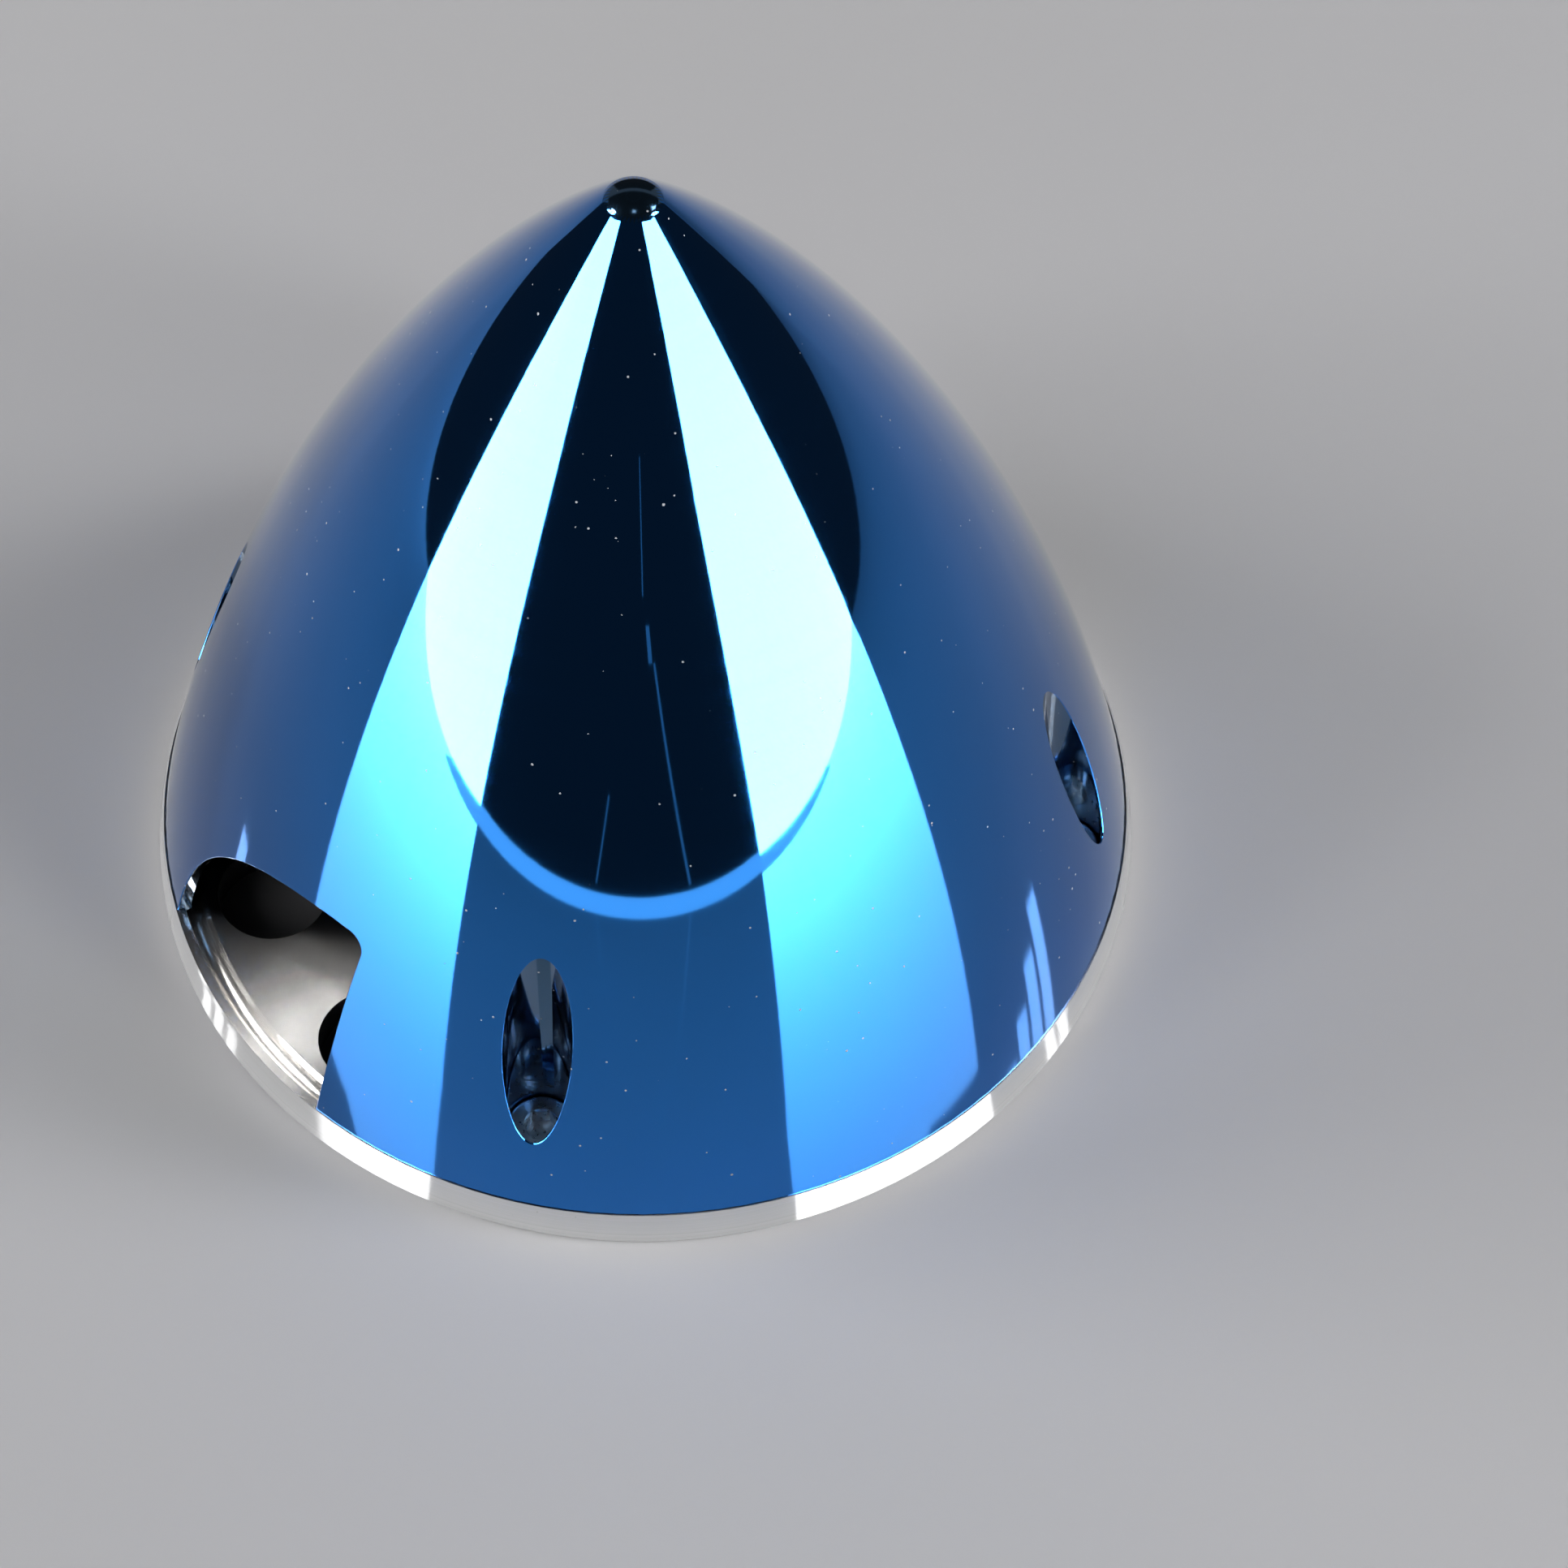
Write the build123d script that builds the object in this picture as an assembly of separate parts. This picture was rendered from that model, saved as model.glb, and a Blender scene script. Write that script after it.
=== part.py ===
from build123d import *
import math
import os

os.makedirs("parts", exist_ok=True)

# A two-blade propeller spinner, nose up, in millimetres.
# The origin is the centre of the backplate's rear face and +Z runs along the
# shaft towards the nose. The blades leave along +X and -X.

# Cone
cone_base_d = 81.1      # across the cone where it stands on the backplate
base_lean = 11.9        # degrees the side already leans in at the base
ogive_r = 180.0         # radius of the side, seen in section
nose_d = 4.6            # across the turned tip, which meets the side in a crisp edge
tip_dome_r = 5.0        # low dome of the tip
wall = 1.2              # wall of the hollow cone
nose_solid = 13.0       # metal left between the hollow and the tip
hollow_fillet = 3.0     # round at the closed end of the hollow

# Backplate
plate_t = 3.2           # thickness
rim_step = 0.1          # how far the rim stands proud of the cone
rim_lean = 8.0          # degrees the rim leans in towards the cone
rim_chamfer = 0.17      # bright front edge of the rim
rear_chamfer = 0.1      # broken rear edge of the rim
bore_d = 11.0           # bore that locates the plate on the shaft
bore_chamfer = 0.3      # both ends of the bore

# Register: a groove in the plate and a lip under the cone
seat_w = 0.65           # ledge outside the groove that carries the cone
groove_w = 1.5          # width of the groove
groove_depth = 1.15     # depth of the groove, full radius at its bottom
groove_bevel = 0.35     # bright bevel on the groove's inner edge
lip_depth = 0.6         # how far the lip reaches into the groove
lip_fit = 0.04          # gap between the lip and the groove's outer wall

# Lightening holes, on the same angular pitch as the screws
hole_d = 9.2
hole_inset = 8.05       # from the edge of the cone's base in to the middle of a hole
hole_pitch = 30.0       # degrees

# Screws and the tunnels that they are reached through
screw_count = 4
screw_inset = 4.6       # from the edge of the cone's base in to the screw's axis
first_screw_angle = 45.0
screw_d = 3.0
screw_length = 5.0      # under the head
head_d = 5.5
head_h = 3.0
head_round = 0.3
hex_af = 2.5            # across the flats of the socket
hex_depth = 1.5
hex_countersink = 0.25
tip_chamfer = 0.35
tunnel_fit = 0.05       # radial gap between the head and its tunnel
shank_fit = 0.15        # radial gap between the shank and the post's floor
thread_fit = 0.02       # radial gap in the tapped hole
floor_t = 2.0           # metal under the screw head
post_wall = 1.25        # metal round a tunnel inside the cone

# Blade openings: an arch on the trailing side and a tall corner on the leading side
slot_count = 2
first_slot_angle = 0.0
slot_w = 22.8
slot_offset = 0.3       # middle of the opening, towards the leading side
slot_h = 20.3           # height above the backplate
slot_arch_r = 21.4
slot_corner_r = 1.6
edge_break = 0.12       # round on the outer edges of the openings and tunnels

# Section of the cone: a circular arc from the base to the edge of the domed tip
base_r = cone_base_d / 2
lean = math.radians(base_lean)
arc_x = base_r - ogive_r * math.cos(lean)
arc_z = plate_t - ogive_r * math.sin(lean)
nose_z = arc_z + math.sqrt(ogive_r ** 2 - (nose_d / 2 - arc_x) ** 2)
dome_angle = math.asin(nose_d / 2 / tip_dome_r)
tip_z = nose_z + tip_dome_r * (1 - math.cos(dome_angle))
hollow_z = tip_z - nose_solid


def on_arc(radius, height):
    """Point of an arc about the section's centre, at a given height."""
    return (arc_x + math.sqrt(radius ** 2 - (height - arc_z) ** 2), height)


def middle_of_arc(radius, low, high):
    """Point half way along such an arc."""
    return on_arc(radius, (low + high) / 2)


def revolved(outline):
    """Solid of revolution about Z from a closed outline in the XZ plane."""
    return revolve(Plane.XZ * make_face(outline), axis=Axis.Z)


# Outer form of the cone, with its metal filled in
nose_edge = (nose_d / 2, nose_z)
dome_middle = (
    tip_dome_r * math.sin(dome_angle / 2),
    tip_z - tip_dome_r * (1 - math.cos(dome_angle / 2)),
)
side = ThreePointArc(
    on_arc(ogive_r, plate_t),
    middle_of_arc(ogive_r, plate_t, nose_z),
    nose_edge,
)
nose = ThreePointArc(nose_edge, dome_middle, (0, tip_z))
axis_line = Line((0, tip_z), (0, plate_t))
base_line = Line((0, plate_t), on_arc(ogive_r, plate_t))
outer_form = revolved(side + nose + axis_line + base_line)

# The hollow follows the side and ends in a rounded pocket behind the nose
inner_r = ogive_r - wall
hollow_base = on_arc(inner_r, plate_t)
hollow_top = on_arc(inner_r, hollow_z)
hollow = revolved(
    Line((0, plate_t), hollow_base)
    + ThreePointArc(hollow_base, middle_of_arc(inner_r, plate_t, hollow_z), hollow_top)
    + Line(hollow_top, (0, hollow_z))
    + Line((0, hollow_z), (0, plate_t))
)
top_edge = hollow.edges().filter_by(GeomType.CIRCLE).sort_by(Axis.Z)[-1]
hollow = fillet(top_edge, min(hollow_fillet, hollow_top[0] * 0.9))

# Screw positions, shared by the cone, the plate and the screws
screw_spots = PolarLocations(base_r - screw_inset, screw_count, first_screw_angle)
tunnel_r = head_d / 2 + tunnel_fit
post_r = tunnel_r + post_wall
seat_z = plate_t + floor_t


def upright(radius, low, high):
    """Cylinder on the Z axis between two heights."""
    return Pos(0, 0, low) * Cylinder(
        radius, high - low, align=(Align.CENTER, Align.CENTER, Align.MIN)
    )


# Posts run up from the plate until they merge with the wall
posts = Part() + [spot * upright(post_r, plate_t, tip_z) for spot in screw_spots]
posts = posts & outer_form

# Register lip, inside the groove's outer wall
groove_outer_r = base_r - seat_w
groove_inner_r = groove_outer_r - groove_w
lip_z = plate_t - lip_depth
lip = upright(groove_outer_r - lip_fit, lip_z, plate_t)
lip -= upright(hollow_base[0], lip_z, plate_t)

cone = outer_form - hollow + posts + lip
for spot in screw_spots:
    cone -= spot * upright(tunnel_r, seat_z, tip_z)
    cone -= spot * upright(screw_d / 2 + shank_fit, plate_t, seat_z)

# Blade opening, drawn on a plane across the blade and cut outwards from the axis
slot_low = slot_offset - slot_w / 2
slot_high = slot_offset + slot_w / 2
arch_x = slot_low + slot_arch_r
arch_z = plate_t + slot_h - slot_arch_r
slot_floor = lip_z - 1.0
corner_z = arch_z + math.sqrt(slot_arch_r ** 2 - (slot_high - arch_x) ** 2)
rise = math.radians(135)
arch_point = (
    arch_x + slot_arch_r * math.cos(rise),
    arch_z + slot_arch_r * math.sin(rise),
)
slot_sketch = make_face(
    Line((slot_low, slot_floor), (slot_low, arch_z))
    + ThreePointArc((slot_low, arch_z), arch_point, (slot_high, corner_z))
    + Line((slot_high, corner_z), (slot_high, slot_floor))
    + Line((slot_high, slot_floor), (slot_low, slot_floor))
)
tall_corner = slot_sketch.vertices().sort_by(Axis.Y)[-1]
slot_sketch = fillet(tall_corner, slot_corner_r)
across = Plane(origin=(0, 0, 0), x_dir=(0, 1, 0), z_dir=(1, 0, 0))
slot_tool = extrude(across * slot_sketch, base_r)
for index in range(slot_count):
    cone -= Rot(0, 0, first_slot_angle + index * 360 / slot_count) * slot_tool


def cut_in_side(edge):
    """Whether an edge was cut in the cone's outer side, away from its base."""
    if edge.geom_type == GeomType.CIRCLE:
        return False
    points = [edge @ share for share in (0.1, 0.5, 0.9)]
    return all(
        plate_t + edge_break / 2 < point.Z < nose_z
        and abs(math.hypot(point.X, point.Y) - on_arc(ogive_r, point.Z)[0]) < 0.002
        for point in points
    )


# The sharp edges round the openings and tunnels are broken, which leaves a thin bright line
cone = fillet(cone.edges().filter_by(cut_in_side), edge_break)

# Backplate, turned
front_r = base_r + rim_step
side_r = front_r + rim_chamfer
rear_r = side_r + (plate_t - rim_chamfer) * math.tan(math.radians(rim_lean))
outline = Polyline(
    (0, 0),
    (rear_r - rear_chamfer, 0),
    (rear_r, rear_chamfer),
    (side_r, plate_t - rim_chamfer),
    (front_r, plate_t),
    (0, plate_t),
    close=True,
)
plate = revolved(outline)

# Groove with upright walls, a full radius at the bottom and a bevelled inner edge
groove_r = groove_w / 2
groove_z = plate_t - groove_depth + groove_r
groove = revolved(
    Polyline(
        (groove_outer_r, groove_z),
        (groove_outer_r, plate_t),
        (groove_inner_r - groove_bevel, plate_t),
        (groove_inner_r, plate_t - groove_bevel),
        (groove_inner_r, groove_z),
    )
    + ThreePointArc(
        (groove_inner_r, groove_z),
        (groove_inner_r + groove_r, plate_t - groove_depth),
        (groove_outer_r, groove_z),
    )
)
plate -= groove

plate -= upright(bore_d / 2, 0, plate_t)
bore_edges = plate.edges().filter_by(GeomType.CIRCLE).sort_by(SortBy.RADIUS)[:2]
plate = chamfer(bore_edges, bore_chamfer)

# Holes fill the pitches between the screws
hole_spots = PolarLocations(base_r - hole_inset, round(360 / hole_pitch), first_screw_angle)
screw_pitch = 360 / screw_count
for number, spot in enumerate(hole_spots):
    off_screw = (number * hole_pitch) % screw_pitch
    if min(off_screw, screw_pitch - off_screw) > hole_pitch / 2:
        plate -= spot * upright(hole_d / 2, 0, plate_t)
for spot in screw_spots:
    plate -= spot * upright(screw_d / 2 + thread_fit, 0, plate_t)

# Socket head cap screw, seated on the floor of its tunnel
head_top = seat_z + head_h
screw = upright(head_d / 2, seat_z, head_top)
screw = fillet(screw.edges().sort_by(Axis.Z)[-1], head_round)
shank = upright(screw_d / 2, seat_z - screw_length, seat_z)
shank = chamfer(shank.edges().sort_by(Axis.Z)[0], tip_chamfer)
screw += shank
hexagon = RegularPolygon(hex_af / 2, 6, major_radius=False)
screw -= extrude(Pos(0, 0, head_top) * hexagon, -hex_depth)
hex_corner_r = hex_af / math.sqrt(3)
screw -= Pos(0, 0, head_top) * Cone(
    hex_corner_r - hex_countersink,
    hex_corner_r + hex_countersink,
    2 * hex_countersink,
)

export_step(cone, "parts/spinner_cone.step")
export_step(plate, "parts/backplate.step")
for number, spot in enumerate(screw_spots, start=1):
    export_step(spot * screw, f"parts/cap_screw_{number}.step")

print("across the rim", round(2 * rear_r, 2))
print("overall height", round(tip_z, 2))
print("edge of the tip", round(nose_z, 2))
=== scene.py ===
# %% [markdown]
# # A polished propeller spinner
# A spinner is the nose cone of a model aircraft's propeller. This one is a hollow
# ogive turned from aluminium, polished and dyed blue, that stands on a turned backplate
# and is held by four cap screws at the bottom of four tunnels. The CAD model already has
# every real shape, so this lesson is about three things: a studio that a mirror can look
# at, smooth light on a mirror's surface, and materials with a turner's finish.

import bmesh
import bpy
import math
from mathutils import Matrix, Vector


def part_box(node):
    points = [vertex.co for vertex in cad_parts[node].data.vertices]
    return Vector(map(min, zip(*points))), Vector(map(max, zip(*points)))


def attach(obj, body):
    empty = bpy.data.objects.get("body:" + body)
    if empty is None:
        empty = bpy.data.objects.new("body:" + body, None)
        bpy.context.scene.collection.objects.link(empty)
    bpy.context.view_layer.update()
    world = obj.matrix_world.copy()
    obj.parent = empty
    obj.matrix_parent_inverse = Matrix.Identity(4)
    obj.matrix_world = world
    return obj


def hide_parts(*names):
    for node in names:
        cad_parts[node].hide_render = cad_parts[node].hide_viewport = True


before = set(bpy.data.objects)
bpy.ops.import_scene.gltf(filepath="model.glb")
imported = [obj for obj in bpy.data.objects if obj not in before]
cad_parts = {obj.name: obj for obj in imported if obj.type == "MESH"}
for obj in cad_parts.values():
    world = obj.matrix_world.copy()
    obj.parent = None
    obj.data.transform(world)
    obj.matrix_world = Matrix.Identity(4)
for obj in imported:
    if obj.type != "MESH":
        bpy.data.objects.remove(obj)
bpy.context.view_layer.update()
mm = 0.001
print("nodes:", ", ".join(sorted(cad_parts)))

# %% [markdown]
# ## The camera
# The photograph was taken from in front and well above, with a long lens. A camera could
# be tracked to a target by eye; here its place and aim are typed in, because they were
# solved from the outlines of the cone, the rim and the seam. Blender's camera looks down
# its own -Z, so its matrix is built from three directions: right, up and back.

# %% Camera
camera_place = Vector((-141.1, -238.7, 414.5)) * mm
camera_heading = math.radians(57.0)
camera_pitch = math.radians(55.88)
camera_roll = math.radians(0.80)
picture_width = 1932
focal_pixels = 7227

ahead = Vector((math.cos(camera_heading), math.sin(camera_heading), 0))
level_right = Vector((ahead.y, -ahead.x, 0))
aim = ahead * math.cos(camera_pitch) - Vector((0, 0, math.sin(camera_pitch)))
level_up = level_right.cross(aim)
right = level_right * math.cos(camera_roll) + level_up * math.sin(camera_roll)
up = level_up * math.cos(camera_roll) - level_right * math.sin(camera_roll)

lens = bpy.data.cameras.new("camera")
lens.sensor_width = 36.0
lens.lens = lens.sensor_width * focal_pixels / picture_width
lens.clip_start = 0.01
camera = bpy.data.objects.new("camera", lens)
turned_to_aim = Matrix((right, up, -aim)).transposed().to_4x4()
camera.matrix_world = Matrix.Translation(camera_place) @ turned_to_aim
bpy.context.scene.collection.objects.link(camera)
bpy.context.scene.camera = camera
bpy.context.scene.view_settings.view_transform = "Standard"
print("lens", round(lens.lens, 1), "mm,", round(camera_place.length * 1000), "mm from the origin")

# %% [markdown]
# ## Helpers for materials
# Every finish here is a Principled shader fed by a few textures. Two short helpers keep
# the trees readable: one adds a node and fills its sockets, the other starts a material.

# %% Node helpers
def add_node(tree, kind, inputs=None, **settings):
    """A new node with its settings and inputs; an output socket as a value is linked."""
    node = tree.nodes.new(kind)
    for name, value in settings.items():
        setattr(node, name, value)
    for name, value in (inputs or {}).items():
        if isinstance(value, bpy.types.NodeSocket):
            tree.links.new(value, node.inputs[name])
        else:
            node.inputs[name].default_value = value
    return node


def new_material(name):
    """A node material, its tree and its Principled shader, already on the output."""
    material = bpy.data.materials.new(name)
    material.use_nodes = True
    tree = material.node_tree
    return material, tree, tree.nodes["Principled BSDF"]


def new_group(name, inputs, outputs):
    """A shader node group with float sockets: its tree, its input node and its output node."""
    tree = bpy.data.node_groups.new(name, "ShaderNodeTree")
    kind = "NodeSocketFloat"
    for socket_name, value in inputs.items():
        socket = tree.interface.new_socket(socket_name, in_out="INPUT", socket_type=kind)
        socket.default_value = value
    for socket_name in outputs:
        tree.interface.new_socket(socket_name, in_out="OUTPUT", socket_type=kind)
    return tree, tree.nodes.new("NodeGroupInput"), tree.nodes.new("NodeGroupOutput")


def arithmetic(tree, operation, first, second=0.0):
    """The result of a Math node on two values or sockets."""
    return add_node(tree, "ShaderNodeMath", {0: first, 1: second}, operation=operation).outputs[0]


def blend(tree, amount, first, second):
    """The result of a Mix node on two colours, each a colour or a socket."""
    inputs = {0: amount, 6: first, 7: second}
    return add_node(tree, "ShaderNodeMix", inputs, data_type="RGBA").outputs[2]


print("helpers ready")

# %% [markdown]
# ## The studio that the mirror sees
# A polished cone shows no colour of its own, it shows the room. Working back from the
# photograph's reflections gives the room: two tall soft panels in front, to the left and
# the right, black between and beside them, striped windows at the sides and small lamps
# high behind. An image of a room would do for one view, but cards with corners at a
# bearing, a distance and a height can each be moved until the metal shows them where it
# should. Bearings are counted from the camera, seen from above, and grow to its right.

# %% A place in the studio
camera_bearing = camera_heading - math.pi


def studio_place(bearing, distance, height):
    """Point at a bearing in degrees, a distance and a height in millimetres."""
    angle = camera_bearing + math.radians(bearing)
    return Vector((distance * math.cos(angle), distance * math.sin(angle), height)) * mm


def card(name, places, material):
    """A flat card of the studio through those places, hidden from the camera itself."""
    mesh = bpy.data.meshes.new(name)
    mesh.from_pydata(places, [], [tuple(range(len(places)))])
    mesh.materials.append(material)
    piece = bpy.data.objects.new(name, mesh)
    bpy.context.scene.collection.objects.link(piece)
    piece.visible_camera = False
    return piece


def card_at(name, corners, material):
    """A card whose corners are given as a bearing, a distance and a height."""
    return card(name, [studio_place(*corner) for corner in corners], material)


def only_reflected(piece):
    """Hides a card from all rays but reflections, so it lights nothing and casts no shadow."""
    piece.visible_diffuse = False
    piece.visible_shadow = False
    piece.visible_transmission = False


def reflected_card(name, corners, material):
    """A card that only reflections show."""
    only_reflected(card_at(name, corners, material))


def glowing(name, strength, thrown=1.0):
    """White light from a card's front, of which metal throws the share thrown on the board."""
    material, tree, shader = new_material(name)
    tree.nodes.remove(shader)
    facing = add_node(tree, "ShaderNodeNewGeometry")
    front = arithmetic(tree, "SUBTRACT", 1.0, facing.outputs["Backfacing"])
    path = add_node(tree, "ShaderNodeLightPath")
    from_board = arithmetic(tree, "MINIMUM", path.outputs["Diffuse Depth"], 1.0)
    lost = arithmetic(tree, "MULTIPLY", from_board, 1.0 - thrown)
    kept = arithmetic(tree, "SUBTRACT", 1.0, lost)
    share = arithmetic(tree, "MULTIPLY", front, kept)
    power = arithmetic(tree, "MULTIPLY", share, strength)
    light = add_node(tree, "ShaderNodeEmission", {"Strength": power})
    tree.links.new(light.outputs[0], tree.nodes["Material Output"].inputs["Surface"])
    return material


print("the camera is at bearing 0; the left panel will be near -58, the right one near 50")

# %% [markdown]
# ### Panels and windows
# A camera lets a strong highlight run to white, while the Standard view clips each channel
# by itself, so a blue mirror of a plain lamp would stay cyan. The reflected panels are
# therefore far stronger than any light on the floor could be. Cycles keeps the two apart by
# ray visibility: some cards are only reflected, and others only give light. The windows at
# the sides are four bars each, where blinds cut them up.

# %% Panels and windows
panel_image = glowing("panel_image", 25.0, thrown=0.4)
window_image = glowing("window_image", 34.0, thrown=0.2)
left_corners = [(-38.5, 246, 0), (-75, 500, 0), (-84, 755, 160), (-85, 793, 364)]
left_corners += [(-72, 455, 248), (-60, 342, 222), (-44, 262, 250), (-40, 250, 190)]
left_corners += [(-38.5, 246, 110)]
right_corners = [(78, 599, 289), (75.5, 535, 184), (71, 450, 0), (28.5, 216, 0), (27.5, 215, 100)]
right_corners += [(29, 217, 190), (32, 223, 255), (58, 316, 215), (72, 470, 330)]
reflected_card("left_panel", left_corners, panel_image)
reflected_card("right_panel", right_corners, panel_image)

# A window's bars, with their heights as degrees of elevation from the cone's foot
window_distance = 400
bar_count = 4
bar_degrees = 3.2
top_degrees = 52
sill_degrees = 38
sill_drop = 10
window_top = window_distance * math.tan(math.radians(top_degrees))
for side, name, near_edge, far_edge in ((-1, "left", 83, 102), (1, "right", 78, 95)):
    for bar in range(bar_count):
        share = bar / bar_count
        edge = near_edge + share * (far_edge - near_edge)
        sill = window_distance * math.tan(math.radians(sill_degrees - sill_drop * share))
        first, second = (-edge, -edge - bar_degrees) if side < 0 else (edge + bar_degrees, edge)
        bar_corners = [(first, window_distance, sill), (second, window_distance, sill)]
        bar_corners += [(second, window_distance, window_top), (first, window_distance, window_top)]
        reflected_card(f"{name}_window_{bar}", bar_corners, window_image)

# %% [markdown]
# ### Small lamps
# Three small lamps high behind are only reflected. They give the dots on the nose, and the
# left one draws the bright sector on the backplate's turned face.

# %% Small lamps
lamp_image = glowing("lamp_image", 9.0, thrown=0.2)
bright_lamp_image = glowing("bright_lamp_image", 40.0, thrown=0.1)
weak_lamp_image = glowing("weak_lamp_image", 2.5, thrown=0.2)


cone_middle = Vector((0, 0, 50 * mm))
upright = Vector((0, 0, 1))


def square(name, bearing, distance, height, size, light):
    """A square card that faces the middle of the cone."""
    middle = studio_place(bearing, distance, height)
    back = (middle - cone_middle).normalized()
    side = upright.cross(back).normalized()
    rise = back.cross(side)
    half = size * mm / 2
    signs = ((1, -1), (-1, -1), (-1, 1), (1, 1))
    return card(name, [middle + x * half * side + y * half * rise for x, y in signs], light)


only_reflected(square("rear_left_lamp", -103, 280, 430, 80, bright_lamp_image))
only_reflected(square("rear_right_lamp", 120, 280, 430, 80, lamp_image))
only_reflected(square("top_lamp", 176, 64, 560, 45, weak_lamp_image))
print("2 panels, 2 windows and 3 lamps are reflected")

# %% [markdown]
# ### Light on the board
# The board in the photograph is bright in front and behind and has two broad, soft shadows
# at the sides. Light from one direction can't do that. The strengths below came from a
# least squares fit of a dozen possible lights to the board's brightness, which kept these.

# %% Light on the board
side_right = [(99, 500, 300), (82, 500, 300), (82, 500, 640), (99, 500, 640)]
side_left = [(-80, 900, 100), (-110, 900, 100), (-110, 900, 600), (-80, 900, 600)]
far_left = [(-75, 500, 0), (-85, 793, 0), (-85, 793, 330), (-75, 500, 330)]
board_lights = [
    square("front_left_light", -60, 536, 450, 120, glowing("front_left_glow", 15.0)),
    square("front_right_light", 55, 536, 450, 120, glowing("front_right_glow", 27.0)),
    card_at("side_right_light", side_right, glowing("side_right_glow", 17.0)),
    card_at("side_left_light", side_left, glowing("side_left_glow", 8.5)),
    card_at("far_left_light", far_left, glowing("far_left_glow", 8.0)),
]
for light in board_lights:
    light.visible_glossy = False
print(len(board_lights), "cards light the board and are not reflected")

# %% [markdown]
# ### Black cards and the board's edge
# Without black, a mirror looks like grey plastic. Photographers stand black cards just out
# of the picture, and these are shown by reflections alone. In front of them the board that
# carries the cone ends in a rounded edge, which catches the light as a pale line, and a
# tripod stands there, of which only a few glints are seen.

# %% Black cards
black = glowing("black_card", 0.03)
between = [(33, 232, 0), (-44, 272, 0), (-44, 300, 400), (33, 270, 400)]
left = [(-74, 505, 0), (-122, 505, 0), (-122, 480, 620), (-74, 505, 620)]
right_side = [(122, 505, 0), (70, 460, 0), (70, 460, 620), (122, 480, 620)]
above = [(45, 900, 620), (-45, 900, 620), (-135, 900, 620), (135, 900, 620)]
reflected_card("card_between_panels", between, black)
reflected_card("card_left", left, black)
reflected_card("card_right", right_side, black)
reflected_card("card_above", above, black)
behind = [(-158, 900, 0), (158, 900, 0), (158, 900, 620), (-158, 900, 620)]
reflected_card("card_behind", behind, black)
print("5 black cards")

# %% Edge of the board and the tripod
edge_light = glowing("edge_light", 1.7)
glint_light = glowing("glint_light", 0.4)


def in_front(sideways, distance, height):
    """Bearing, distance and height of a place so far in front of the axis and to its right."""
    return math.degrees(math.atan2(sideways, distance)), math.hypot(sideways, distance), height


edge_places = ((-205, 203, 0.2), (205, 203, 0.2), (205, 169, 0.2), (-205, 169, 0.2))
reflected_card("board_edge", [in_front(*place) for place in edge_places], edge_light)
# Each glint: its top and its foot, sideways and up, and half its width
glints = [
    ((20, 64), (41, 2), 1.0),
    ((-23, 28), (-31, 3), 0.6),
    ((9.5, 120), (9.5, 82), 0.6),
    ((14, 74), (16, 64), 2.0),
]
tripod_distance = 194
for number, (top, foot, width) in enumerate(glints):
    reach = [(foot[0] + width, tripod_distance, foot[1]), (foot[0] - width, tripod_distance, foot[1])]
    reach += [(top[0] - width, tripod_distance, top[1]), (top[0] + width, tripod_distance, top[1])]
    reflected_card(f"tripod_glint_{number}", [in_front(*place) for place in reach], glint_light)
print("a pale edge and", len(glints), "glints")

# %% [markdown]
# ## The floor and the world
# The floor is a pale, glossy board. Its gloss matters more than its colour: at a low angle
# it mirrors the panels, and that is what fills the cone's flanks with light blue. Seen by
# the camera itself it stays matt, or the panels would wash it out in views from the sides.
# A near-black disc, smaller than the backplate, is painted shade: it stands for the deep
# shade under the plate and keeps the board from shining up through the lightening holes.
# The world is a dim even grey that keeps the shadows soft.

# %% Floor and world
floor_size = 8.0
floor_gap = 0.02 * mm
bpy.ops.mesh.primitive_plane_add(size=floor_size, location=(0, 0, -floor_gap))
floor = bpy.context.object
floor.name = "floor"
board, board_tree, board_shader = new_material("pale_board")
place = add_node(board_tree, "ShaderNodeTexCoord")
clouding = {"Vector": place.outputs["Object"], "Scale": 9.0, "Detail": 3.0}
cloud = add_node(board_tree, "ShaderNodeTexNoise", clouding)
board_colour = (0.44, 0.438, 0.447, 1)
paler_board = (0.47, 0.468, 0.477, 1)
tone = blend(board_tree, cloud.outputs["Fac"], board_colour, paler_board)
board_tree.links.new(tone, board_shader.inputs["Base Color"])
board_shader.inputs["Roughness"].default_value = 0.05
board_shader.inputs["IOR"].default_value = 1.4
seen_by = add_node(board_tree, "ShaderNodeLightPath")
unseen = arithmetic(board_tree, "SUBTRACT", 1.0, seen_by.outputs["Is Camera Ray"])
gloss = arithmetic(board_tree, "MULTIPLY", unseen, 0.5)
board_tree.links.new(gloss, board_shader.inputs["Specular IOR Level"])
floor.data.materials.append(board)

# Painted shade: a near-black disc under the backplate, so the lightening holes look dark.
painted_shade_radius = 38 * mm
painted_shade_place = (0, 0, -floor_gap / 2)
bpy.ops.mesh.primitive_circle_add(vertices=96, radius=painted_shade_radius, fill_type="NGON", location=painted_shade_place)
painted_shade_disc = bpy.context.object
painted_shade_disc.name = "painted_shade_disc"
painted_shade_black, painted_shade_tree, painted_shade_shader = new_material("painted_shade_under_plate")
painted_shade_shader.inputs["Base Color"].default_value = (0.02, 0.02, 0.022, 1)
painted_shade_shader.inputs["Roughness"].default_value = 1.0
painted_shade_disc.data.materials.append(painted_shade_black)

world = bpy.data.worlds.new("studio")
world.use_nodes = True
world.node_tree.nodes["Background"].inputs["Color"].default_value = (0.2, 0.199, 0.2, 1)
bpy.context.scene.world = world
print("floor", floor_size, "m")

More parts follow.
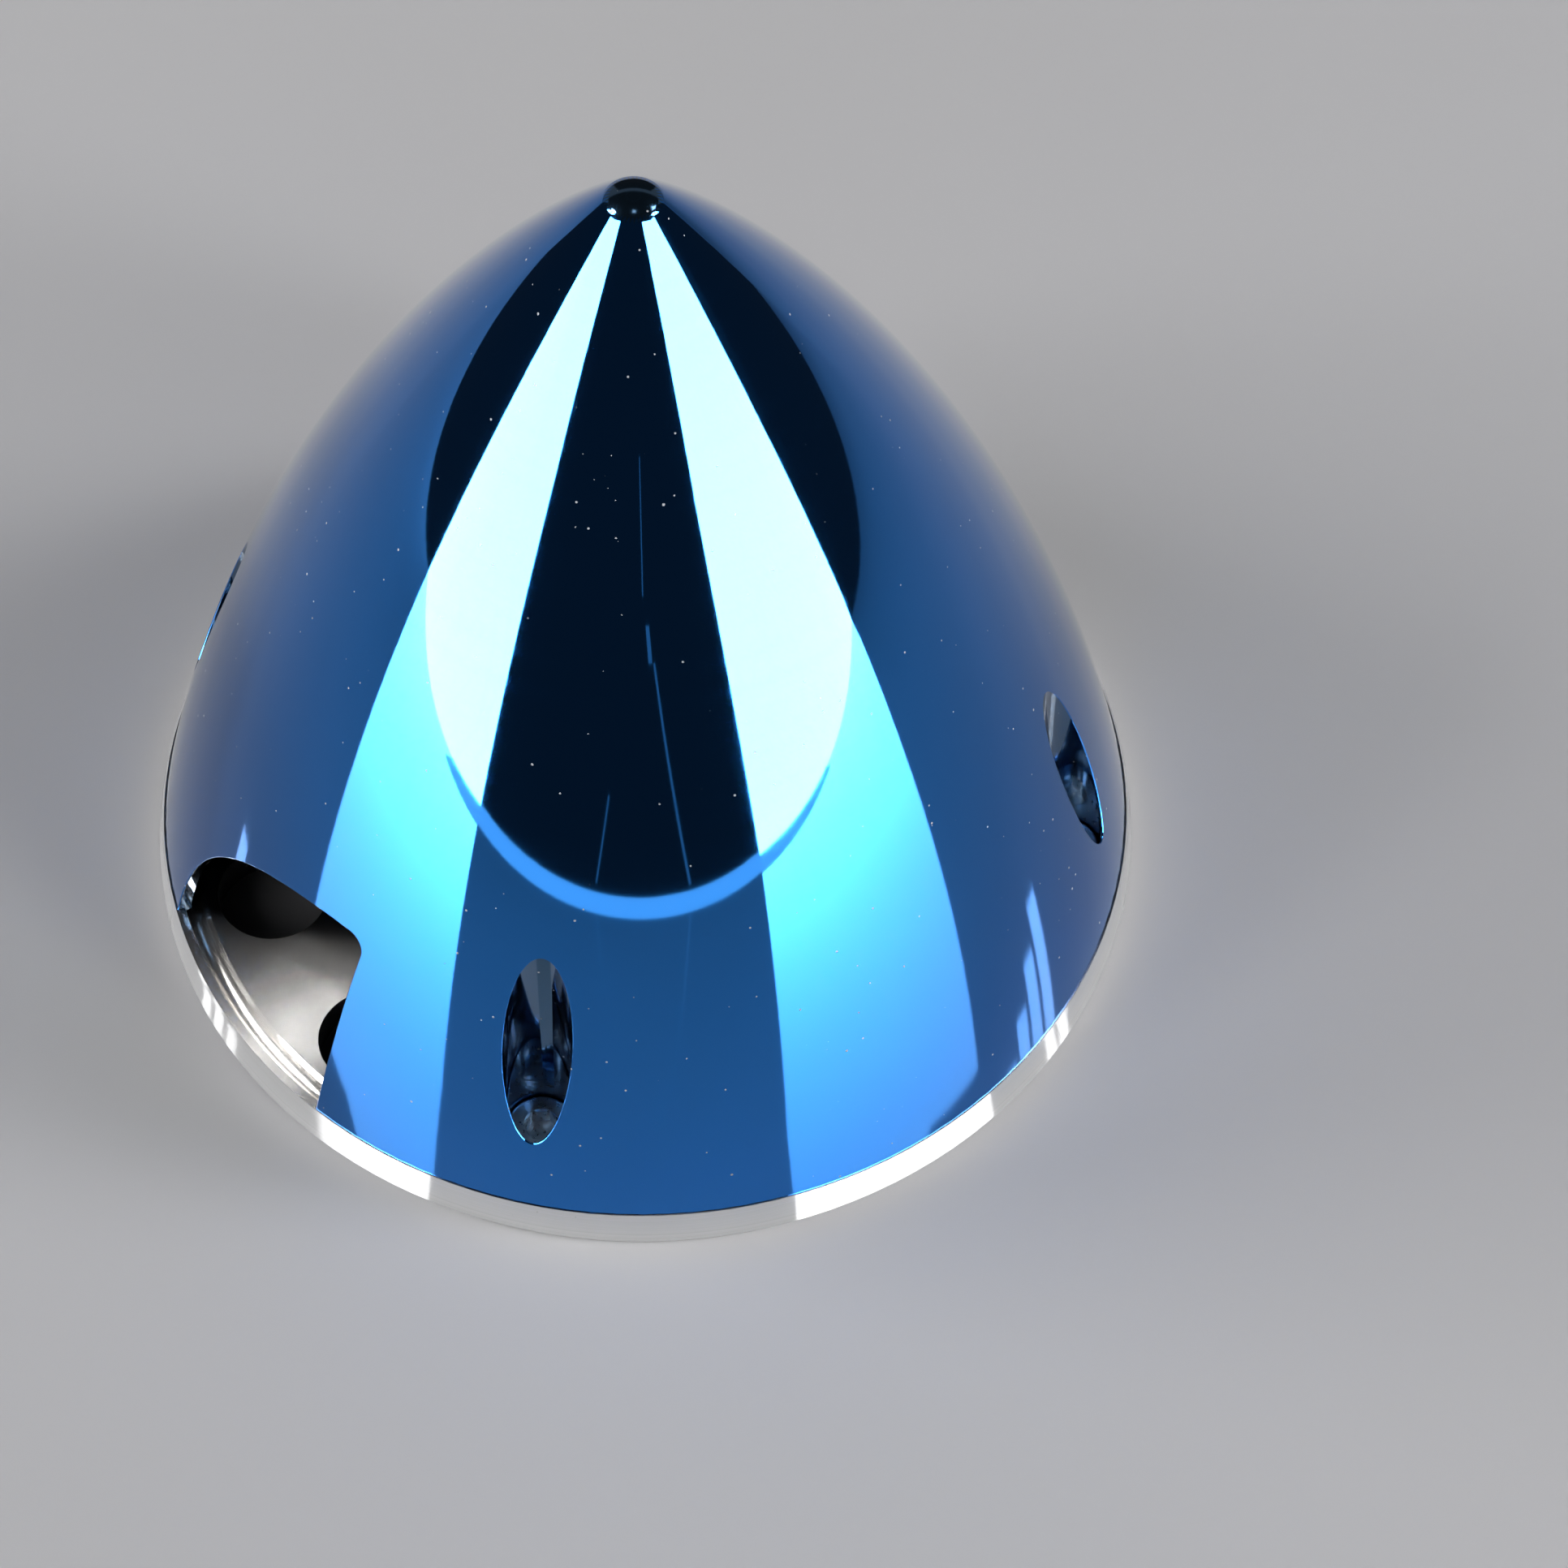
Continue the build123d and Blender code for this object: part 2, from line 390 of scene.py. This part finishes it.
# %% [markdown]
# ## Marks that a lathe leaves
# A turned surface carries rings as fine as the tool's feed, and under the polish a few
# broader ones stay, which bend a reflection by a hair. Every ring on this part lies at one
# height and one radius, so one number, height less radius, tells the rings apart on the
# cone's side, the plate's face and its rim alike. Noise along that number is the ring
# pattern. An image would need an unwrapping, and this needs none. As more than one finish
# uses it, it is a node group that puts out plain values.

# %% Turning marks
ring_inputs = {"Rings per metre": 4000.0, "Waver": 0.1}
turning, marks_in, marks_out = new_group("turning_marks", ring_inputs, ["Rings"])
place = add_node(turning, "ShaderNodeTexCoord")
parts = add_node(turning, "ShaderNodeSeparateXYZ", {"Vector": place.outputs["Object"]})
level = {0: place.outputs["Object"], 1: (1, 1, 0)}
flat = add_node(turning, "ShaderNodeVectorMath", level, operation="MULTIPLY")
radius = add_node(turning, "ShaderNodeVectorMath", {0: flat.outputs[0]}, operation="LENGTH")
across = arithmetic(turning, "SUBTRACT", parts.outputs["Z"], radius.outputs["Value"])
ring_place = arithmetic(turning, "MULTIPLY", across, marks_in.outputs["Rings per metre"])
wandering = {"Vector": place.outputs["Object"], "Scale": 60.0, "Detail": 1.0}
wander = add_node(turning, "ShaderNodeTexNoise", wandering)
drift = arithmetic(turning, "MULTIPLY", wander.outputs["Fac"], marks_in.outputs["Waver"])
ring_place = arithmetic(turning, "ADD", ring_place, drift)
ringing = {"W": ring_place, "Scale": 1.0, "Detail": 3.0}
rings = add_node(turning, "ShaderNodeTexNoise", ringing, noise_dimensions="1D")
turning.links.new(rings.outputs["Fac"], marks_out.inputs["Rings"])
print("turning_marks:", len(turning.nodes), "nodes")

# %% [markdown]
# ## Dust
# In the dark parts of a polished surface each speck of dust shows as a pale dot. A Voronoi
# texture gives every cell one point and one random colour. The point becomes a speck, the
# colour decides whether the cell has one and how large it is, and a second noise gathers
# the specks so that they don't look sown.

# %% Dust specks
dust_inputs = {"Cells per metre": 1300.0, "Size": 0.15, "Share": 0.25}
dust, dust_in, dust_out = new_group("dust", dust_inputs, ["Specks"])
place = add_node(dust, "ShaderNodeTexCoord")
celling = {"Vector": place.outputs["Object"], "Scale": dust_in.outputs["Cells per metre"]}
cells = add_node(dust, "ShaderNodeTexVoronoi", celling)
chance = add_node(dust, "ShaderNodeSeparateXYZ", {"Vector": cells.outputs["Color"]})
drifting = {"Vector": place.outputs["Object"], "Scale": 90.0, "Detail": 2.0}
drift = add_node(dust, "ShaderNodeTexNoise", drifting)
gathered = arithmetic(dust, "MULTIPLY", drift.outputs["Fac"], 2.0)
share = arithmetic(dust, "MULTIPLY", gathered, dust_in.outputs["Share"])
chosen = arithmetic(dust, "LESS_THAN", chance.outputs["X"], share)
mostly_small = arithmetic(dust, "POWER", chance.outputs["Y"], 2.0)
reach = arithmetic(dust, "MULTIPLY", mostly_small, dust_in.outputs["Size"])
inside = arithmetic(dust, "LESS_THAN", cells.outputs["Distance"], reach)
dust.links.new(arithmetic(dust, "MULTIPLY", chosen, inside), dust_out.inputs["Specks"])
print("dust:", len(dust.nodes), "nodes")

# %% [markdown]
# ## A dyed, anodised finish
# Anodising grows a clear, hard oxide on the aluminium and the dye sits inside it. The metal
# below gives a coloured mirror, and the top of the oxide a faint clear one that takes over
# at a low angle, which is why the outline fades to the colour of the room. That is a
# metallic base under a coat. A plain blue plastic would give white highlights instead.
# One function makes both finishes, because the turned inside differs from the polished
# outside only in its numbers: a rougher ground, a stronger coat and a duller dye. That dye
# is also darker and greyer, partly a painted shade for the tunnels and the hollow.

# %% Anodised finish
def anodised(name, colour, polish, ring_bump, rings, dust_share, coat):
    """A dyed, anodised finish of that roughness, ring height in metres, dust and coat's IOR."""
    material, tree, shader = new_material(name)
    marks = add_node(tree, "ShaderNodeGroup", node_tree=turning)
    marks.inputs["Rings per metre"].default_value = rings
    dust_marks = add_node(tree, "ShaderNodeGroup", node_tree=dust)
    dust_marks.inputs["Share"].default_value = dust_share
    place = add_node(tree, "ShaderNodeTexCoord")
    clouding = {"Vector": place.outputs["Object"], "Scale": 45.0, "Detail": 4.0}
    cloud = add_node(tree, "ShaderNodeTexNoise", clouding)

    deeper = tuple(0.86 * channel for channel in colour)
    dye = blend(tree, cloud.outputs["Fac"], (*colour, 1), (*deeper, 1))
    grey_dust = (0.30, 0.32, 0.36, 1)
    dusty = blend(tree, dust_marks.outputs["Specks"], dye, grey_dust)
    tree.links.new(dusty, shader.inputs["Base Color"])

    bare = arithmetic(tree, "SUBTRACT", 1.0, dust_marks.outputs["Specks"])
    tree.links.new(bare, shader.inputs["Metallic"])
    smear = arithmetic(tree, "MULTIPLY", cloud.outputs["Fac"], polish)
    groove = arithmetic(tree, "MULTIPLY", marks.outputs["Rings"], polish)
    least = 0.005
    ground = arithmetic(tree, "ADD", arithmetic(tree, "ADD", smear, groove), least)
    matt_dust = arithmetic(tree, "MULTIPLY", dust_marks.outputs["Specks"], 0.6)
    rough = arithmetic(tree, "ADD", ground, matt_dust)
    tree.links.new(rough, shader.inputs["Roughness"])

    bump = add_node(tree, "ShaderNodeBump", {"Height": marks.outputs["Rings"], "Distance": ring_bump})
    tree.links.new(bump.outputs[0], shader.inputs["Normal"])
    shader.inputs["Coat Weight"].default_value = 1.0
    shader.inputs["Coat IOR"].default_value = coat
    shader.inputs["Coat Roughness"].default_value = 0.02
    return material


blue = (0.023, 0.205, 0.64)
# Painted shade, in part: the inside's dye is darker and greyer than the outside's, so the tunnels and
# the hollow look shaded.
dull_blue_with_painted_shade = (0.05, 0.13, 0.24)
polished_blue = anodised("polished_blue", blue, 0.03, 0.00025 * mm, 500.0, 0.3, 1.15)
turned_blue_with_painted_shade = anodised("turned_blue_with_painted_shade", dull_blue_with_painted_shade, 0.10, 0.0004 * mm, 3000.0, 0.8, 1.4)
print("finishes:", polished_blue.name, turned_blue_with_painted_shade.name)

# %% [markdown]
# ## Bare aluminium
# The backplate is turned and left bare. Its rings act as thousands of tiny mirrors, each
# curved across the ring, so a lamp is drawn out into a bright ray from the middle to the
# rim. Cycles does this with anisotropy: the highlight is long in the direction of the
# tangent. Here the tangent is turned a quarter, from along a ring to across it. Bump alone
# would need rings finer than a pixel. The rim is polished, so it only has faint rings. Its
# finest scratches scatter a share of the light, which a lower metallic value stands for.

# %% Bare aluminium
def bare_aluminium(name, colour, roughness, ring_bump, rings, anisotropy, metallic=1.0):
    """Turned aluminium, with light drawn out across its rings by the anisotropy."""
    material, tree, shader = new_material(name)
    marks = add_node(tree, "ShaderNodeGroup", node_tree=turning)
    marks.inputs["Rings per metre"].default_value = rings
    marks.inputs["Waver"].default_value = 0.4
    place = add_node(tree, "ShaderNodeTexCoord")
    clouding = {"Vector": place.outputs["Object"], "Scale": 160.0, "Detail": 5.0}
    cloud = add_node(tree, "ShaderNodeTexNoise", clouding)
    dust_marks = add_node(tree, "ShaderNodeGroup", node_tree=dust)
    dust_marks.inputs["Share"].default_value = 0.1

    darker = tuple(0.72 * channel for channel in colour)
    tone = blend(tree, marks.outputs["Rings"], (*darker, 1), (*colour, 1))
    pale_dust = (0.6, 0.6, 0.58, 1)
    dusty = blend(tree, dust_marks.outputs["Specks"], tone, pale_dust)
    tree.links.new(dusty, shader.inputs["Base Color"])
    shader.inputs["Metallic"].default_value = metallic
    uneven = arithmetic(tree, "ADD", 0.75, arithmetic(tree, "MULTIPLY", cloud.outputs["Fac"], 0.5))
    tree.links.new(arithmetic(tree, "MULTIPLY", uneven, roughness), shader.inputs["Roughness"])
    bump = add_node(tree, "ShaderNodeBump", {"Height": marks.outputs["Rings"], "Distance": ring_bump})
    tree.links.new(bump.outputs[0], shader.inputs["Normal"])
    if anisotropy:
        axis_and_place = {0: (0, 0, 1), 1: place.outputs["Object"]}
        along = add_node(tree, "ShaderNodeVectorMath", axis_and_place, operation="CROSS_PRODUCT")
        unit = add_node(tree, "ShaderNodeVectorMath", {0: along.outputs[0]}, operation="NORMALIZE")
        tree.links.new(unit.outputs[0], shader.inputs["Tangent"])
        shader.inputs["Anisotropic"].default_value = anisotropy
        shader.inputs["Anisotropic Rotation"].default_value = 0.25
    return material


fine_rings = 5000.0
warm_grey = (0.64, 0.62, 0.60)
pale_grey = (0.91, 0.91, 0.91)
hole_shade_grey = (0.22, 0.22, 0.23)
turned_face = bare_aluminium("turned_face", warm_grey, 0.2, 0.0005 * mm, fine_rings, 1.0)
polished_rim = bare_aluminium("polished_rim", pale_grey, 0.06, 0.0001 * mm, fine_rings, 0.0, 0.65)
# Painted shade: the drilled walls get a dark grey that stands for the shade inside the holes.
drilled_wall_painted_shade = bare_aluminium("drilled_wall_painted_shade", hole_shade_grey, 0.35, 0.0001 * mm, fine_rings, 0.0)
print("finishes:", turned_face.name, polished_rim.name, drilled_wall_painted_shade.name)

# %% [markdown]
# ## Steel screws
# The cap screws are plain steel with the cloudy, slightly oily look of a zinc finish. Fine
# noise in the colour, the roughness and the bump is enough at their size.

# %% Screw steel
screw_steel, tree, shader = new_material("zinc_steel")
place = add_node(tree, "ShaderNodeTexCoord")
graining = {"Vector": place.outputs["Object"], "Scale": 2500.0, "Detail": 4.0}
grain = add_node(tree, "ShaderNodeTexNoise", graining)
dark_steel = (0.62, 0.63, 0.65, 1)
pale_steel = (0.86, 0.87, 0.88, 1)
tone = blend(tree, grain.outputs["Fac"], dark_steel, pale_steel)
tree.links.new(tone, shader.inputs["Base Color"])
shader.inputs["Metallic"].default_value = 1.0
rough = arithmetic(tree, "ADD", 0.18, arithmetic(tree, "MULTIPLY", grain.outputs["Fac"], 0.25))
tree.links.new(rough, shader.inputs["Roughness"])
bump = add_node(tree, "ShaderNodeBump", {"Height": grain.outputs["Fac"], "Distance": 0.002 * mm})
tree.links.new(bump.outputs[0], shader.inputs["Normal"])
print("finish:", screw_steel.name)

# %% [markdown]
# ## Merged copies with true normals
# A mirror shows every fault in the normals. The CAD mesh is made of loose triangles, and
# normals averaged from them wobble, which turns the edge of a reflected panel into a wavy
# line. More triangles would only make the waves smaller. The surfaces here are turned, so
# their normals are known: on the cone's side they point straight away from the centre of
# its arc. So a copy of each node is merged, its creases are marked sharp, and each corner
# whose surface is known gets its exact normal. The normals that came with the CAD mesh go
# first, because they would win over the creases.

# %% Merged copies
merge_distance = 0.0005 * mm
crease_angle = math.radians(21)


def merged_copy(node, name):
    """A merged copy of a CAD node's loose triangles, smooth between sharp creases."""
    form = bmesh.new()
    form.from_mesh(node.data)
    form.transform(node.matrix_world)
    bmesh.ops.remove_doubles(form, verts=form.verts, dist=merge_distance)
    mesh = bpy.data.meshes.new(name)
    form.to_mesh(mesh)
    form.free()
    if "custom_normal" in mesh.attributes:
        mesh.attributes.remove(mesh.attributes["custom_normal"])
    mesh.polygons.foreach_set("use_smooth", [True] * len(mesh.polygons))
    mesh.set_sharp_from_angle(angle=crease_angle)
    piece = bpy.data.objects.new(name, mesh)
    bpy.context.scene.collection.objects.link(piece)
    return piece


def give_normals(piece, rule):
    """Sets each corner's normal to rule(place, face normal, averaged normal), where it is known."""
    mesh = piece.data
    normals = [corner.vector.copy() for corner in mesh.corner_normals]
    known = 0
    for polygon in mesh.polygons:
        for corner in polygon.loop_indices:
            place = mesh.vertices[mesh.loops[corner].vertex_index].co
            exact = rule(place, polygon.normal, normals[corner])
            if exact is not None:
                normals[corner] = exact
                known += 1
    mesh.normals_split_custom_set(normals)
    print(piece.name, "has", known, "of", len(normals), "corners with a known normal")


def outward_from_axis(place):
    """Unit vector from the part's axis to a place, level."""
    return Vector((place.x, place.y, 0)).normalized()


def along_ring(place):
    """Unit vector along the ring through a place."""
    outward = outward_from_axis(place)
    return Vector((-outward.y, outward.x, 0))


print("helpers ready")

# %% [markdown]
# ## The cone
# Its side is one arc of 180 mm radius that leans in by 11.9 degrees at the base. That is a
# rule of two numbers, so the script types them in and finds the arc's centre. The hollow's
# arc has the same centre. The tunnels' walls are known as well: they look at the axis of
# their screw. The polished finish goes on the outside, and every other face gets the
# turned one.

# %% The rule of the side
cone_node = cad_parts["spinner_cone"]
plate_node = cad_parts["backplate"]
screw_names = [name for name in sorted(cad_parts) if name.startswith("cap_screw")]
side_radius = 180.0 * mm
side_lean = math.radians(11.9)
wall = 1.2 * mm
plate_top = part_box("backplate")[1][2]
cone_piece = merged_copy(cone_node, "cone")
at_base = [v.co for v in cone_piece.data.vertices if abs(v.co.z - plate_top) < merge_distance]
base_radius = max(math.hypot(place.x, place.y) for place in at_base)
centre_out = base_radius - side_radius * math.cos(side_lean)
centre_up = plate_top - side_radius * math.sin(side_lean)


def from_arc_centre(place):
    """(distance from the centre of the side's arc, unit vector away from it) at a place."""
    out = math.hypot(place.x, place.y) - centre_out
    away = outward_from_axis(place) * out + Vector((0, 0, place.z - centre_up))
    return away.length, away.normalized()


screw_boxes = [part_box(name) for name in screw_names]
middles = [(Vector(low) + Vector(high)) / 2 for low, high in screw_boxes]
screw_places = [Vector((middle.x, middle.y, 0)) for middle in middles]
tunnel_radius = 2.8 * mm
same = 0.01 * mm
alike = math.cos(math.radians(30))


def cone_normal(place, facing, average):
    """The known normal of the side, the hollow or a tunnel, or None."""
    distance, away = from_arc_centre(place)
    if place.z > plate_top - same and abs(distance - side_radius) < same and away.dot(facing) > alike:
        return away
    if abs(distance - side_radius + wall) < same and -away.dot(facing) > alike:
        return -away
    for spot in screw_places:
        inward = Vector((spot.x - place.x, spot.y - place.y, 0))
        if abs(inward.length - tunnel_radius) < same and inward.normalized().dot(facing) > alike:
            return inward.normalized()
    return None


give_normals(cone_piece, cone_normal)

# %% Finishes on the cone
broken_edge = 0.13 * mm


def outside(polygon):
    """Whether a face belongs to the cone's outer side, its tip or a broken edge beside them."""
    distance, away = from_arc_centre(polygon.center)
    near = distance > side_radius - broken_edge
    return near and polygon.center.z > plate_top and away.dot(polygon.normal) > 0.2


cone_piece.data.materials.append(polished_blue)
cone_piece.data.materials.append(turned_blue_with_painted_shade)
for polygon in cone_piece.data.polygons:
    polygon.material_index = 0 if outside(polygon) else 1
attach(cone_piece, "root")
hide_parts("spinner_cone")
polished = sum(polygon.material_index == 0 for polygon in cone_piece.data.polygons)
print(polished, "polished faces of", len(cone_piece.data.polygons))

# %% [markdown]
# ## The backplate
# Everything on the plate but its holes was turned, and a turned surface never faces along
# its ring. So the known normal is the average one with that part taken out. The face, the
# groove, the ledge and the rear get the drawn-out finish. Only the rim and its two broken
# edges are polished. The drilled walls get a dark grey, a painted shade for the holes. In
# the photograph the rim mirrors the panels, as a side that leans in by 15 degrees would.
# The solid leans by 8, so the normals of the rim and its front edge are bent to 15 and the
# form stays as it is.

# %% Backplate piece
plate_piece = merged_copy(plate_node, "turned_backplate")
on_ring = 0.08
seen_lean = math.radians(15)
rim_step = 0.1 * mm


def plate_normal(place, facing, average):
    """The averaged normal without the part that runs along the ring, on turned faces."""
    along = along_ring(place)
    if abs(facing.dot(along)) > on_ring:
        return None
    if place.xy.length > base_radius + rim_step / 2 and -0.3 < facing.z < 0.9:
        return outward_from_axis(place) * math.cos(seen_lean) + upright * math.sin(seen_lean)
    return (average - along * average.dot(along)).normalized()


give_normals(plate_piece, plate_normal)
plate_piece.data.materials.append(polished_rim)
plate_piece.data.materials.append(turned_face)
plate_piece.data.materials.append(drilled_wall_painted_shade)
rim_faces = 0
for polygon in plate_piece.data.polygons:
    level_face = abs(polygon.normal.z) > 0.999
    if abs(polygon.normal.dot(along_ring(polygon.center))) > on_ring:
        polygon.material_index = 2
    elif polygon.center.xy.length > base_radius + rim_step and not level_face:
        rim_faces += 1
    else:
        polygon.material_index = 1
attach(plate_piece, "root")
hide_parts("backplate")
print(rim_faces, "polished faces of", len(plate_piece.data.polygons))

# %% [markdown]
# ## One cap screw
# The real screw has a knurled head, a hexagon socket with a broken edge and a thread. The
# CAD solid has the same outline with a plain head and shank. All of it is a stack of rings
# round one axis, from the tip, over the head and down into the socket, and only the radius
# of a ring changes with the angle: in waves for the knurl, straight across for the six
# flats, and along a helix for the thread. So one function lofts a stack of rings, and each
# ring brings its own radius function. It stays inside the CAD solid everywhere.

# %% Rings of a screw
segments = 96
head_radius = 2.75 * mm
head_height = 3.0 * mm
shank_radius = 1.5 * mm
shank_length = 5.0 * mm
thread_pitch = 0.5 * mm
thread_depth = 0.25 * mm
knurl_ridges = 24
knurl_depth = 0.06 * mm
socket_flat = 1.25 * mm
socket_depth = 1.5 * mm
socket_corner = socket_flat / math.cos(math.radians(30))
tip_chamfer = 0.35 * mm
washer_face = 0.12 * mm
head_round = 0.3 * mm
hair = 0.001 * mm


def plain(radius):
    """A ring of one radius."""
    return lambda angle: radius


def knurled(angle):
    """The head's side: shallow V grooves between round ridges."""
    return head_radius - knurl_depth * abs(math.cos(angle * knurl_ridges / 2)) ** 3


def hexagon(angle):
    """Distance from the axis to the flats of the socket."""
    turn = (angle + math.radians(30)) % math.radians(60) - math.radians(30)
    return socket_flat / math.cos(turn)


def socket_edge(depth):
    """The socket at a depth, where its countersink may still be wider than the flats."""
    return lambda angle: max(hexagon(angle), socket_corner - depth)


def threaded(height):
    """The shank at a height: a V thread that climbs one pitch a turn and fades at its ends."""
    fade = min(1.0, (height + shank_length) / thread_pitch, -height / thread_pitch)

    def radius(angle):
        phase = (height / thread_pitch - angle / math.tau) % 1.0
        return shank_radius - fade * thread_depth * abs(2 * phase - 1)

    return radius


rings = [(-shank_length, plain(0.0)), (-shank_length, plain(shank_radius - tip_chamfer))]
thread_rings = 50
for step in range(thread_rings + 1):
    height = -shank_length + tip_chamfer + (shank_length - tip_chamfer) * step / thread_rings
    rings.append((height, threaded(min(height, -hair))))
rings += [(0.0, plain(head_radius - washer_face)), (washer_face, plain(head_radius - 0.02 * mm))]
rings += [(0.2 * mm, knurled), (1.2 * mm, knurled), (head_height - 0.45 * mm, knurled)]
for step in range(5):
    turn = math.radians(90 * step / 4)
    height = head_height - head_round + head_round * math.sin(turn)
    rings.append((height, plain(head_radius - 0.01 * mm - head_round * (1 - math.cos(turn)))))
for depth in (0.0, 0.05 * mm, 0.1 * mm, 0.15 * mm, 0.2 * mm):
    rings.append((head_height - depth, socket_edge(depth)))
rings += [(head_height - socket_depth, hexagon), (head_height - socket_depth, plain(0.0))]
print(len(rings), "rings of", segments, "points")

# %% Loft of the rings
pole_merge = 0.0001 * mm
screw_crease = math.radians(32)


def loft(name, stack):
    """A closed mesh over a stack of (height, radius function) rings, merged at both poles."""
    form = bmesh.new()
    rows = []
    for height, radius_at in stack:
        angles = [math.tau * number / segments for number in range(segments)]
        spots = [(radius_at(a) * math.cos(a), radius_at(a) * math.sin(a), height) for a in angles]
        rows.append([form.verts.new(spot) for spot in spots])
    for lower, upper in zip(rows, rows[1:]):
        for number in range(segments):
            after = (number + 1) % segments
            form.faces.new((lower[number], lower[after], upper[after], upper[number]))
    bmesh.ops.remove_doubles(form, verts=form.verts, dist=pole_merge)
    bmesh.ops.recalc_face_normals(form, faces=form.faces)
    mesh = bpy.data.meshes.new(name)
    form.to_mesh(mesh)
    form.free()
    mesh.polygons.foreach_set("use_smooth", [True] * len(mesh.polygons))
    mesh.set_sharp_from_angle(angle=screw_crease)
    return mesh


screw_mesh = loft("one_cap_screw", rings)
print("one screw:", len(screw_mesh.polygons), "faces")

# %% [markdown]
# ## Four screws on a circle
# The screws sit on one pitch circle. Copies made by a loop would do, but a Geometry Nodes
# tree keeps the count, the circle and the seat as inputs that can be changed afterwards.
# Each screw also stopped at its own angle when it was tightened, so a seeded random twist
# turns them before they are placed. The tree ends in Realize Instances, because an
# exported file holds meshes and not instances.

# %% Round pattern tree
pattern = bpy.data.node_groups.new("screw_circle", "GeometryNodeTree")
pattern.interface.new_socket("Geometry", in_out="INPUT", socket_type="NodeSocketGeometry")
sockets = {}
kinds = {"Count": "Int", "Circle radius": "Float", "First angle": "Float", "Seat height": "Float"}
kinds.update({"Seed": "Int", "Steel": "Material"})
for name, kind in kinds.items():
    socket = pattern.interface.new_socket(name, in_out="INPUT", socket_type=f"NodeSocket{kind}")
    sockets[name] = socket.identifier
pattern.interface.new_socket("Geometry", in_out="OUTPUT", socket_type="NodeSocketGeometry")

wanted = pattern.nodes.new("NodeGroupInput").outputs
circle_inputs = {"Vertices": wanted["Count"], "Radius": wanted["Circle radius"]}
circle = add_node(pattern, "GeometryNodeMeshCircle", circle_inputs)
twist = add_node(pattern, "FunctionNodeRandomValue", {"Seed": wanted["Seed"]}, data_type="FLOAT")
twist.inputs[2].default_value = 0.0
twist.inputs[3].default_value = math.tau
turned = add_node(pattern, "ShaderNodeCombineXYZ", {"Z": twist.outputs[1]})
rotation = add_node(pattern, "FunctionNodeEulerToRotation", {"Euler": turned.outputs[0]})
copies = add_node(
    pattern,
    "GeometryNodeInstanceOnPoints",
    {"Points": circle.outputs[0], "Instance": wanted["Geometry"], "Rotation": rotation.outputs[0]},
)
lift = add_node(pattern, "ShaderNodeCombineXYZ", {"Z": wanted["Seat height"]})
start = add_node(pattern, "ShaderNodeCombineXYZ", {"Z": wanted["First angle"]})
placed = add_node(
    pattern,
    "GeometryNodeTransform",
    {"Geometry": copies.outputs[0], "Translation": lift.outputs[0], "Rotation": start.outputs[0]},
)
solid = add_node(pattern, "GeometryNodeRealizeInstances", {"Geometry": placed.outputs[0]})
finish = {"Geometry": solid.outputs[0], "Material": wanted["Steel"]}
finished = add_node(pattern, "GeometryNodeSetMaterial", finish)
pattern.links.new(finished.outputs[0], pattern.nodes.new("NodeGroupOutput").inputs[0])
print("screw_circle:", len(pattern.nodes), "nodes")

# %% The four screws
master = bpy.data.objects.new("screw_master", screw_mesh)
bpy.context.scene.collection.objects.link(master)
first = min(screw_places, key=lambda spot: math.atan2(spot.y, spot.x) % math.tau)
seat_height = screw_boxes[0][1][2] - head_height
modifier = master.modifiers.new("pattern", "NODES")
modifier.node_group = pattern
modifier[sockets["Count"]] = len(screw_names)
modifier[sockets["Circle radius"]] = first.length
modifier[sockets["First angle"]] = math.atan2(first.y, first.x)
modifier[sockets["Seat height"]] = seat_height
modifier[sockets["Seed"]] = 5
modifier[sockets["Steel"]] = screw_steel
result = master.evaluated_get(bpy.context.evaluated_depsgraph_get())
screws = bpy.data.objects.new("cap_screws", bpy.data.meshes.new_from_object(result))
bpy.data.objects.remove(master)
bpy.context.scene.collection.objects.link(screws)
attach(screws, "root")
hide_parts(*screw_names)
print("screws:", len(screws.data.polygons), "faces, on a circle of", round(first.length / mm, 2), "mm")
